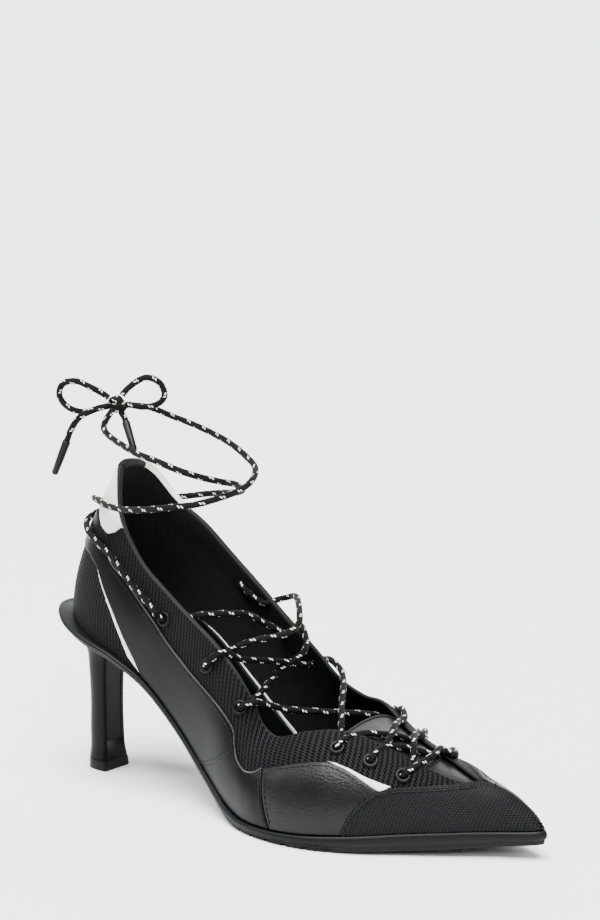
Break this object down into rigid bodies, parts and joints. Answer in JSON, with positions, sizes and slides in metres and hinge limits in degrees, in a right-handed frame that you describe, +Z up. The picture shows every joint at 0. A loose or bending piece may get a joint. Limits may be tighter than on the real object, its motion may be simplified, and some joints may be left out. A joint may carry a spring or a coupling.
{
  "type": "lace-up high-heeled pump shoe",
  "caption": "Pointed lace-up pump with a slim block heel, mesh and leather panels, a flared rim at the heel seat, a short tongue and a rope lace tied in a bow behind the ankle.",
  "frame": {"origin": "floor level under the middle of the shoe's own box, lace left out", "axes": "+X from the heel to the toe, +Y to the inner (medial) side, +Z up"},
  "size_m": [0.2446, 0.0862, 0.1798],
  "materials": {
    "upper_leather": "smooth black leather with open mesh panels and white leather accents",
    "sole_rubber": "matte black rubber, fine knurl on the lower edge",
    "heel_lacquer": "satin black heel",
    "sock_textile": "fine black textile",
    "lace_cord": "round braided black rope with small white flecks",
    "black_plastic": "matte black moulded plastic"
  },
  "bodies": {
    "root": {"upper": "upper_leather", "tongue": "upper_leather", "outsole": "sole_rubber", "heel_lift": "sole_rubber", "heel": "heel_lacquer", "insole": "sock_textile", "lace_crossings": "lace_cord", "ankle_lace_lateral": "lace_cord", "ankle_lace_medial": "lace_cord", "bow_loop_left": "lace_cord", "bow_loop_right": "lace_cord", "lace_end_left": "lace_cord", "lace_end_right": "lace_cord", "bow_knot": "lace_cord", "aglet_left": "black_plastic", "aglet_right": "black_plastic", "eyelet_lateral_1": "black_plastic", "eyelet_lateral_2": "black_plastic", "eyelet_lateral_3": "black_plastic", "eyelet_lateral_4": "black_plastic", "eyelet_lateral_5": "black_plastic", "eyelet_lateral_6": "black_plastic", "eyelet_medial_1": "black_plastic", "eyelet_medial_2": "black_plastic", "eyelet_medial_3": "black_plastic", "eyelet_medial_4": "black_plastic", "eyelet_medial_5": "black_plastic", "eyelet_medial_6": "black_plastic"}
  },
  "joints": []
}
